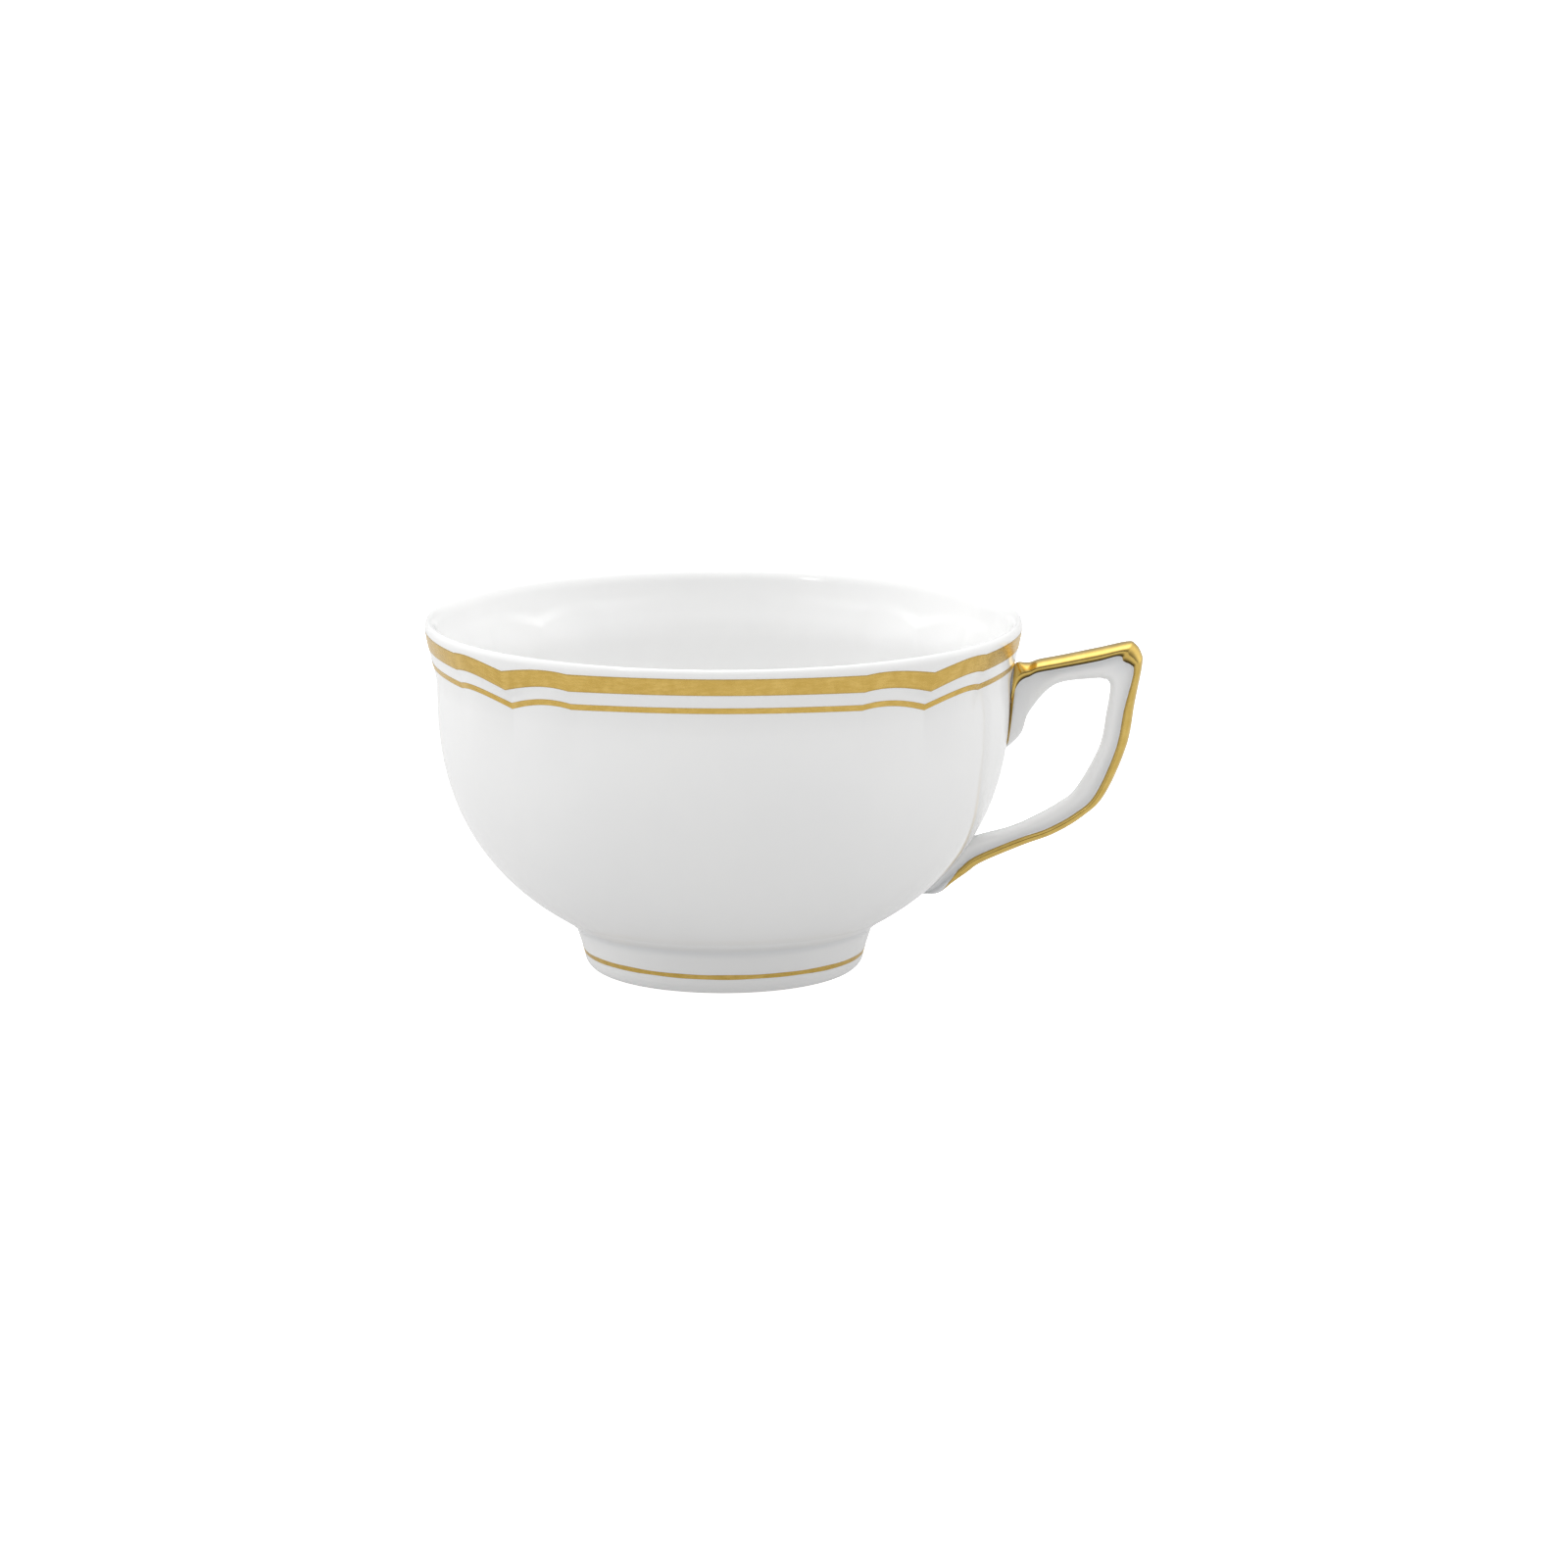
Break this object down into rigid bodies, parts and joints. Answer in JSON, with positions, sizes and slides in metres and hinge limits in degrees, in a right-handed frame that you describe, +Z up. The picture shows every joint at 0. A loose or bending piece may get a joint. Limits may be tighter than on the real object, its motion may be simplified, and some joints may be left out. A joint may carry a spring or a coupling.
{
  "type": "teacup",
  "caption": "Low porcelain teacup with a lobed bowl, flared rim, foot ring, angular loop handle and gilded edges.",
  "frame": {"origin": "middle of the footprint's bounding box, on the surface the foot stands on", "axes": "+Z up along the cup's own axis, +X from the cup towards its handle, +Y across the handle"},
  "size_m": [0.1142, 0.095, 0.0567],
  "materials": {
    "porcelain": "clear gloss glaze",
    "gold": "burnished gold film"
  },
  "bodies": {
    "root": {"bowl": "porcelain", "foot_ring": "porcelain", "handle": "porcelain", "rim_gold_band": "gold", "rim_gold_line": "gold", "foot_gold_line": "gold", "handle_gilding": "gold", "handle_root_gilding": "gold"}
  },
  "joints": []
}
